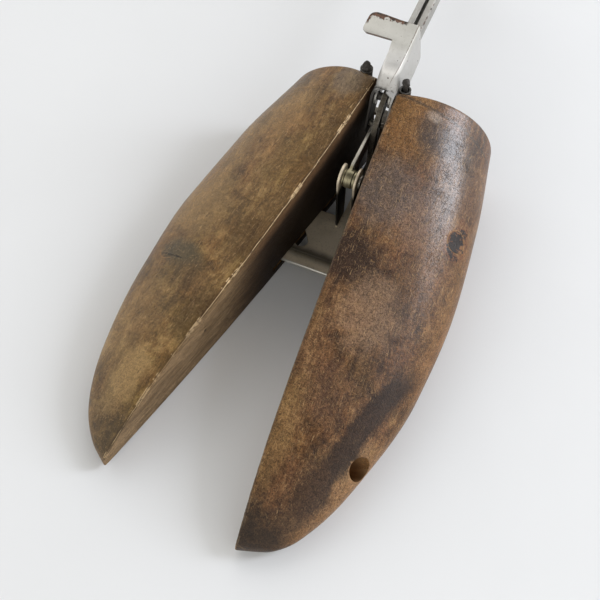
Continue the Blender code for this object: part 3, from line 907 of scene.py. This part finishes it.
class Wood(Graph):
    """Old varnished wood, painted in layers: colour holds the paint so far."""

    def __init__(self, name, kind):
        super().__init__(name)
        self.kind = kind
        self.look = WOOD[kind]
        self.lay = self.attribute("lay", "Vector")
        self.u, self.v, _ = self.split(self.lay)
        self.part = self.attribute("part")
        self.rim = self.attribute("rim")
        self.bore = self.attribute("bore")
        self.bent = self.warp(self.lay, 0.06, 5.0)
        curl = self.warp(self.lay, 0.5, 1.6)
        self.streak = self.noise(self.scaled(self.bent, (0.55, 0.045, 0.55)), 1.0, 4, 0.6, 0.6)
        self.hair = self.noise(self.scaled(curl, (2.6, 0.35, 2.6)), 1.0, 3, 0.6)
        self.mottle = self.noise(self.bent, 0.26, 4, 0.65, 0.4)
        self.speck = self.noise(self.lay, 2.4, 3, 0.75)
        self.grit = self.noise(curl, 1.1, 3, 0.7)
        self.ragged = self.add(self.noise(self.bent, 0.22, 5, 0.68), -0.5)
        self.inside = self.mul(self.step(self.u, 0.5, 0.12), self.step(self.rim, -0.35, -0.9))

    def tint(self, amount, rgb):
        self.colour = self.mix(amount, self.colour, linear(*rgb))

    def rough(self, value, amount):
        """The value with a ragged edge."""
        return self.add(value, self.mul(self.ragged, amount))

    def radius(self, at, reach):
        """Distance from a place on the last: 1 on the ellipse of that reach."""
        du = self.mul(self.add(self.u, -at[0]), 1.0 / reach[0])
        dv = self.mul(self.add(self.v, -at[1]), 1.0 / reach[1])
        return self.math("SQRT", self.add(self.mul(du, du), self.mul(dv, dv)))

    def patch(self, at, reach, rgb, amount):
        """A place with a ragged outline: a stain, wear, or on the right half painted sheen."""
        r = self.rough(self.radius(at, reach), 1.1)
        self.tint(self.mul(self.step(r, 1.15, 0.45), amount), rgb)

    def off_stains(self, value, share):
        """Less of the value where the right half's dark stains lie."""
        if self.kind != "right":
            return value
        return self.mul(value, self.inv(self.mul(self.band, share)), self.inv(self.mul(self.toe, share)))


def base_tone(g):
    """Broad stain, grain that runs with the length, and reddish and greenish stretches."""
    deep, mid, pale = (linear(*rgb) for rgb in g.look["tones"])
    broad = g.noise(g.scaled(g.bent, (1.0, 0.55, 1.0)), 0.05, 3, 0.55)
    tone = g.add(g.mul(broad, 0.75), g.mul(g.streak, 0.65), g.mul(g.mottle, 0.6))
    tone = g.step(tone, 0.72, 1.28)
    colour = g.mix(g.step(tone, 0.0, 0.55), deep, mid)
    g.colour = g.mix(g.step(tone, 0.5, 1.0), colour, pale)
    for stretch, shift, amount, rgb in ((0.7, (31, 7, 5), 0.34, (246, 190, 150)),
                                        (0.6, (3, 47, 15), 0.45, (214, 224, 180))):
        cast = g.noise(g.scaled(g.bent, (1, stretch, 1), shift=shift), 0.07, 4, 0.6)
        cast = g.mul(g.step(cast, 0.42, 0.68), amount)
        g.colour = g.mix(cast, g.colour, g.mix(1.0, g.colour, linear(*rgb), "MULTIPLY"))


def right_stains_and_sheen(g):
    """Worn places and two grey places of painted sheen, the pale lower side, the dark back edge, side
    band and toe.
    """
    for place in RIGHT_PLACES:
        g.patch(*place)
    lower = g.step(g.rough(g.part, 0.3), 0.80, 0.95)
    g.tint(g.mul(lower, g.step(g.v, 20, 40), g.step(g.v, 98, 86), 0.35), (136, 98, 60))
    g.tint(g.mul(g.near(g.v, 0.9, 0.9), 0.75), (52, 42, 32))
    off = g.rough(g.add(g.u, g.mul(g.v, 0.36), -65.3), 5.0)
    g.band = g.mul(g.step(off, -6.2, -3.6), g.step(off, 4.0, 1.2),
                   g.step(g.v, 80, 90), g.step(g.v, 150, 126))
    g.tint(g.mul(g.band, 0.90), (40, 27, 20))
    g.tint(g.mul(lower, g.step(g.v, 102, 114), 0.65), (134, 98, 62))
    g.patch((17, 128), (6, 12), (70, 50, 35), 0.65)
    g.toe = g.mul(g.step(g.rough(g.v, 12.0), 134, 146), g.step(g.u, 22, 10))
    g.tint(g.mul(g.toe, 0.88), (42, 30, 20))


def left_stains(g):
    """Worn places, the shade beside the ridge, the grey toe and a short crack by the plug."""
    for place in LEFT_PLACES:
        g.patch(*place)
    shade = g.mul(g.step(g.rough(g.u, 6.0), 9.0, 2.0), g.step(g.v, 92, 60), 0.42)
    g.tint(shade, (78, 59, 36))
    toe = g.mul(g.step(g.rough(g.v, 12.0), 128, 140), g.step(g.part, 0.95, 0.70))
    g.tint(g.mul(toe, 0.34), (72, 60, 42))
    across = g.rough(g.add(g.v, -86.1, g.mul(g.add(g.u, -23.2), -0.05)), 1.3)
    crack = g.mul(g.near(across, 0.0, 0.42), g.near(g.u, 23.2, 6.6))
    g.tint(g.mul(g.step(crack, 0.10, 0.45), 0.9), (30, 23, 16))


def inner_face(g):
    """Brown below the ridge, plain grain at the toe, and painted shade, nearly black, deep in the gap;
    one nail.
    """
    outside = g.colour
    g.colour = g.mix(g.step(g.streak, 0.3, 0.7), linear(100, 80, 56), linear(142, 118, 88))
    g.tint(g.mul(g.step(g.hair, 0.5, 0.3), 0.5), (70, 54, 38))
    g.tint(g.mul(g.step(g.v, 92, 62), 0.8), (84, 58, 38))
    # painted shade: nearly black deep down in the gap between the halves
    deep = g.step(g.rough(g.rim, 3.0), -2.0, -7.5)
    g.tint(g.mul(g.step(g.v, 96, 60), deep, 0.93), (22, 15, 10))
    nail = g.mul(g.near(g.v, 99.0, 0.9), g.near(g.rim, -9.0, 0.9))
    g.tint(g.mul(g.step(nail, 0.1, 0.4), 0.9), (22, 16, 12))
    g.colour = g.mix(g.mul(g.inside, 0.95), outside, g.colour)


def fine_texture(g):
    """Specks, short curly hairs, pale scratches in three directions, and dark hairs."""
    speckle = g.look["speckle"]
    gain = g.add(1.0, g.swing(g.speck, 1.9 * speckle), g.swing(g.grit, 1.3 * speckle),
                 g.swing(g.hair, 0.9))
    g.colour = g.mix(1.0, g.colour, g.most(gain, 0.25), "MULTIPLY")
    walls = g.cells(g.warp(g.lay, 0.6, 1.5), 0.85, "DISTANCE_TO_EDGE")
    seldom = g.noise(g.scaled(g.lay, (1, 1, 1), shift=(5, 9, 2)), 0.9, 3, 0.6)
    curls = g.mul(g.step(walls, 0.085, 0.02), g.step(seldom, 0.50, 0.62))
    g.curls = g.off_stains(curls, 0.85)
    g.tint(g.mul(g.curls, g.inv(g.inside), g.look["curls"]), (180, 142, 96))
    wavy = g.warp(g.lay, 0.12, 2.0)
    marks = 0.0
    for turn, shift, amount in ((24, 0, 0.6), (-38, 40, 0.5), (72, 90, 0.45)):
        thin = g.scaled(wavy, (3.6, 0.22, 1.2), turn=(0, 0, turn), shift=(shift, 3, 0))
        rare = g.noise(g.scaled(g.lay, (1, 1, 1), shift=(shift, 9, 2)), 0.12, 2, 0.5)
        line = g.step(g.noise(thin, 1.0, 2, 0.5), 0.64, 0.72)
        marks = g.most(marks, g.mul(line, g.step(rare, 0.42, 0.62), amount))
    g.marks = g.off_stains(marks, 0.75)
    g.tint(g.mul(g.marks, g.inv(g.inside)), (186, 152, 108))
    hairs = g.streaks(g.warp(g.lay, 0.2, 3.0), (3.2, 0.5, 2.0), -14)
    g.tint(g.mul(g.step(hairs, 0.41, 0.32), 0.55), (40, 28, 20))


def plug_filling(g):
    """Black filling over the right plug, spilt unevenly past its edge."""
    r = g.add(g.rough(g.radius((34.2, 36.9), (2.5, 4.6)), 4.0), g.swing(g.grit, 2.2))
    g.tint(g.mul(g.step(r, 1.7, 1.1), 0.35), (120, 66, 30))
    g.tint(g.mul(g.step(r, 1.12, 0.92), 0.95), (24, 20, 20))


def ridge_line(g):
    """Worn line of pale wood along the ridge, broken and doubled where it is chipped."""
    chip = g.attribute("chip")
    wander = g.noise(g.scaled(g.lay, (0, 1, 0)), 0.11, 3, 0.6)
    wander = g.mul(g.add(wander, -0.45), 1.4)
    reach = g.add(0.09, g.mul(chip, 0.34))
    gap = g.math("ABSOLUTE", g.math("SUBTRACT", g.rim, wander))
    line = g.step(gap, g.add(reach, 0.12), reach)
    second = g.step(g.math("ABSOLUTE", g.add(gap, -0.75)), 0.22, 0.08)
    second = g.mul(second, g.step(chip, 0.35, 0.55))
    broken = g.step(g.noise(g.scaled(g.lay, (1.0, 0.35, 1.0)), 1.1, 3, 0.7), 0.37, 0.45)
    line = g.mul(g.most(line, second), broken)
    g.tint(g.mul(g.near(gap, 0.35, 0.7), g.look["shade"]), (52, 36, 24))
    g.tint(g.mul(line, g.step(g.v, 88, 112, *g.look["line"])), (222, 192, 148))


def varnish(g):
    """What is left of the varnish: glossy, gone in specks."""
    g.put("Roughness", g.add(0.30, g.mul(g.mottle, 0.14), g.swing(g.grit, 0.35),
                             g.mul(g.inside, 0.3), g.mul(g.bore, 0.4)))
    g.bsdf.inputs["Specular IOR Level"].default_value = 0.22
    dust = g.noise(g.lay, 4.5, 2, 0.7)
    gloss = g.add(g.mul(g.speck, 0.55), g.mul(dust, 0.45), g.swing(g.mottle, 0.3))
    gloss = g.add(0.12, g.mul(g.step(gloss, 0.42, 0.54), 0.88))
    coat = g.look["coat"]
    if g.kind == "right":
        coat = g.mul(g.add(coat, g.mul(g.band, -0.4), g.mul(g.toe, -0.4)),
                     g.step(g.v, 16, 52, 1.0, 0.42), g.step(g.u, 13, 22, 0.45, 1.0),
                     g.step(g.u, 29, 35, 1.0, 0.35))
    g.put("Coat Weight", g.mul(gloss, g.inv(g.inside), g.inv(g.bore), coat))
    g.bsdf.inputs["Coat Roughness"].default_value = 0.26


def relief(g):
    """A soft grain under the varnish's gloss, and a deeper one in the wood."""
    g.bump(g.grit, 0.12, 0.35)
    g.put("Coat Normal", g.normal)
    g.normal = None
    g.bump(g.speck, 0.20, g.look["specks"])
    g.bump(g.grit, 0.22, 0.45)
    g.bump(g.hair, 0.12, 0.4)
    g.bump(g.mottle, 0.6, 0.35)
    g.bump(g.inv(g.most(g.marks, g.curls)), 0.08, 0.5)


def wood_material(name, kind):
    """The layers of old wood in their order, then the finish."""
    g = Wood(name, kind)
    base_tone(g)
    if kind == "right":
        right_stains_and_sheen(g)
    elif kind == "left":
        left_stains(g)
    inner_face(g)
    fine_texture(g)
    if kind == "right":
        plug_filling(g)
    ridge_line(g)
    g.tint(g.bore, (150, 118, 84))
    g.put("Base Color", g.colour)
    varnish(g)
    relief(g)
    return g.mat


# -------- metals

def lever_wear_and_painted_light(g, p, colour):
    """Rust on the tab, a painted shadow line at its front, a dark line on the right bend, brown side
    walls as painted shade under the web, and painted light and shade over the web and walls.
    """
    x, y, z = g.split(p)
    rough = g.noise(p, 0.9, 4, 0.7)
    ragged = g.swing(g.noise(p, 0.55, 5, 0.7), 1.0)
    across, along, up = g.split(g.attribute("flat", "Vector"))
    back = g.step(g.add(y, g.mul(ragged, 7.0)), TAB_BACK - 1.75, TAB_BACK - 1.25)
    back = g.mul(back, g.step(x, 4.6, 3.2))
    corner = g.step(g.add(x, g.mul(ragged, 4.0)), TAB_LEFT + 1.1, TAB_LEFT + 0.6)
    corner = g.mul(corner, g.step(y, 24.5, 26.5))
    # painted shadow: a dark line along the tab's front edge
    front = g.mul(g.near(y, TAB_FRONT, 0.28), g.step(x, 1.6, 1.0), 0.8)
    rise = g.add(up, g.mul(along, -0.125), -51.2)
    seam = g.mul(g.near(across, LEVER_OUT - 0.42, 0.36), g.step(z, 46.5, 48.5),
                 g.step(g.add(rise, g.mul(g.step(along, 5.0, -0.8), 7.0)), -0.9, -0.5),
                 g.step(rough, 0.36, 0.52), 0.7)
    # painted shade: the side walls below the web, mostly the right one, turn dark brown
    under = g.mul(g.step(g.add(z, g.mul(ragged, 3.0)), 46.2, 44.2), g.step(y, 14.0, 12.0),
                  g.step(across, 2.9, 2.3, 0.3, 1.0), 0.96)
    # painted light and shade: the web is brighter at its front, where it curves down to the pivot,
    # darker behind, and the side walls are darker than the web
    bright = g.mix(g.step(along, 4.0, 14.0), (1.24, 1.24, 1.25), (0.87, 0.865, 0.83))
    bright = g.mix(g.step(rise, -2.4, -1.2), (0.84, 0.84, 0.84), bright)
    return g.mix(1.0, colour, bright, "MULTIPLY"), g.most(back, corner, front, seam, under)


def link_wear(g, p, colour):
    """Brown flanks below the rubbed crown, and a duller eye."""
    _, y, z = g.split(p)
    crown = g.add(z, g.mul(g.add(y, 17.1), 0.052), -34.2)
    flank = g.mul(g.step(crown, -0.35, -0.75), g.step(y, -17.2, -16.2), 0.94)
    dull = g.mix(1.0, colour, (0.50, 0.47, 0.35), "MULTIPLY")
    return g.mix(g.step(y, -17.0, -18.4), colour, dull), flank


def strut_wear(g, p, colour):
    """A broken dark line along the right rail."""
    x, _, z = g.split(p)
    dash = g.mul(g.near(x, SHIFT.x + 2.62, 0.42), g.step(z, 46.9, 47.3),
                 g.step(g.noise(p, 0.5, 3, 0.6), 0.44, 0.52))
    return colour, dash


# two tones, how metallic, how rough, and where it is worn, with painted light and shade on the lever
NICKEL = {"lever": ((0.56, 0.55, 0.525), (0.63, 0.62, 0.60), 0.60, 0.46, lever_wear_and_painted_light),
          "strut": ((0.31, 0.30, 0.28), (0.39, 0.38, 0.355), 0.70, 0.44, strut_wear),
          "link": ((0.46, 0.43, 0.36), (0.60, 0.57, 0.50), 0.90, 0.36, link_wear)}


def nickel_material(name, kind):
    """Worn nickel plate: soft scratches, dull patches, dark pits, brown where it is worn through, which
    on the lever is also painted shade under the web.
    """
    low, high, metal, gloss, wear = NICKEL[kind]
    g = Graph(name)
    p = g.object_mm()
    cloud = g.noise(p, 0.16, 4, 0.6)
    fine = g.streaks(p, (3.0, 0.25, 3.0), 12)
    rough = g.noise(p, 0.9, 4, 0.7)
    colour = g.mix(g.step(cloud, 0.3, 0.7), low, high)
    colour = g.mix(g.mul(g.step(fine, 0.58, 0.75), 0.22), colour, (0.84, 0.82, 0.78))
    colour = g.mix(g.mul(g.step(rough, 0.56, 0.68), 0.20), colour, linear(120, 110, 94))
    colour, wear_and_shade = wear(g, p, colour)
    pits = g.mul(g.step(g.cells(p, 0.42), 0.16, 0.07), g.step(g.noise(p, 0.35, 2, 0.5), 0.52, 0.62))
    rubbed = g.mul(g.step(g.add(g.mul(g.edge(0.35), 0.5), rough), 0.95, 1.08), 0.8)
    wear_and_shade = g.most(wear_and_shade, pits, rubbed)
    brown = g.mix(g.step(rough, 0.42, 0.58), linear(46, 40, 35), linear(104, 74, 58))
    if kind == "lever":
        # painted shade: on the lever the brown goes darker towards the bottom of the walls
        painted_shade_low = g.step(g.split(p)[2], 47.0, 45.0)
        brown = g.mix(painted_shade_low, brown, linear(34, 29, 25))
    g.put("Base Color", g.mix(wear_and_shade, colour, brown))
    g.put("Metallic", g.math("SUBTRACT", metal, g.mul(wear_and_shade, metal)))
    g.put("Roughness", g.add(gloss, g.swing(cloud, 0.2), g.mul(fine, 0.08), g.mul(wear_and_shade, 0.35)))
    g.bump(fine, 0.03, 0.4)
    g.bump(g.inv(wear_and_shade), 0.10, 0.7)
    g.bump(cloud, 0.3, 0.12)
    return g.mat


def plate_material(name):
    """Dull rolled plate, tan with old polish; a painted dark band behind the step, painted shade on the
    upright lugs, rubbed bright in front.
    """
    g = Graph(name)
    p = g.object_mm()
    _, y, z = g.split(p)
    cloud = g.noise(p, 0.10, 4, 0.55)
    fine = g.streaks(p, (0.3, 3.0, 3.0), 8)
    spots = g.noise(p, 1.3, 4, 0.7)
    colour = g.mix(g.step(cloud, 0.3, 0.7), (0.60, 0.51, 0.38), (0.76, 0.66, 0.51))
    colour = g.mix(g.mul(g.step(spots, 0.56, 0.68), 0.35), colour, linear(70, 58, 44))
    # a dark band is painted across the plate behind the step
    dark_band = g.near(g.add(y, g.swing(cloud, 2.0)), -38.0, 3.6)
    colour = g.mix(g.mul(dark_band, 0.85), colour, linear(36, 31, 23))
    # painted shade: the upright lugs deep between the halves are near black from just above the plate to
    # near their top
    colour = g.mix(g.mul(g.step(z, 29.5, 25.0), g.step(z, 4.9, 6.0)), colour, linear(24, 19, 14))
    bright = g.step(y, -42.8, -43.15)
    colour = g.mix(bright, colour, (0.82, 0.80, 0.72))
    g.put("Base Color", colour)
    g.put("Metallic", g.add(0.55, g.mul(bright, 0.3)))
    g.put("Roughness", g.add(0.46, g.mul(cloud, 0.1), g.mul(bright, -0.16), g.mul(fine, 0.08)))
    g.bump(fine, 0.03, 0.5)
    g.bump(spots, 0.05, 0.4)
    return g.mat


def steel_material(name, base, dirt, rough_at):
    """Bare or blackened steel with rolled streaks, stains and bright rubbed edges."""
    g = Graph(name)
    p = g.object_mm()
    cloud = g.noise(p, 0.22, 5, 0.65)
    fine = g.streaks(p, (0.3, 3.0, 3.0), 8)
    pale = tuple(min(1.0, c * 1.5) for c in base)
    colour = g.mix(g.step(fine, 0.35, 0.7), base, pale)
    stain = g.step(g.add(g.mul(cloud, 0.7), g.mul(g.noise(p, 1.2, 4, 0.7), 0.3)), 0.44, 0.60)
    colour = g.mix(g.mul(stain, 0.75), colour, dirt)
    edge = g.edge(0.3)
    colour = g.mix(g.mul(edge, 0.6), colour, (0.62, 0.60, 0.55))
    g.put("Base Color", colour)
    g.put("Metallic", g.math("SUBTRACT", 1.0, g.mul(stain, 0.5)))
    g.put("Roughness", g.add(rough_at, g.mul(cloud, 0.2), g.mul(stain, 0.15), g.mul(edge, -0.1)))
    g.bump(fine, 0.03, 0.5)
    g.bump(cloud, 0.15, 0.4)
    return g.mat


# -------- build

camera()
stage()

greasy = steel_material("greasy_steel", (0.085, 0.075, 0.06), linear(34, 27, 20), 0.42)
steel = steel_material("dull_steel", (0.30, 0.28, 0.24), linear(78, 66, 50), 0.38)
iron = steel_material("dark_iron", (0.09, 0.085, 0.08), linear(40, 34, 30), 0.5)
nickel = nickel_material("worn_nickel", "link")

half_last(LEFT, wood_material("varnished_wood_left", "left"))
half_last(RIGHT, wood_material("varnished_wood_right", "right"))

for node in ("centre_frame", "guide_pin_left", "guide_pin_right", "guide_rivet"):
    skin(node, greasy, 0.1)
for node in ("crank_rivet", "axle", "heel_slide"):
    skin(node, steel, 0.1)
skin("slide_plate", plate_material("plate_steel"), 0.1, wide=(plate_lip, 0.35, 3))
skin("pivot_pin", iron, 0.12)
for node in ("hinge_pin_left", "hinge_pin_right"):
    skin(node, iron, 0.12, move=worn_head)
for place in ("upper", "lower"):
    for tag in ("left", "right"):
        skin("strap_%s_%s" % (place, tag), iron, 0.15)
        skin("strap_screw_%s_%s" % (place, tag), iron, 0.15)
for node in ("link", "washer_left", "washer_right"):
    skin(node, nickel, 0.08)
skin("strut", nickel_material("worn_nickel_strut", "strut"), 0.1, wide=(strut_rail, 0.6, 4))
lever_piece(nickel_material("worn_nickel_lever", "lever"))
heel_piece(wood_material("varnished_wood_heel", "heel"))
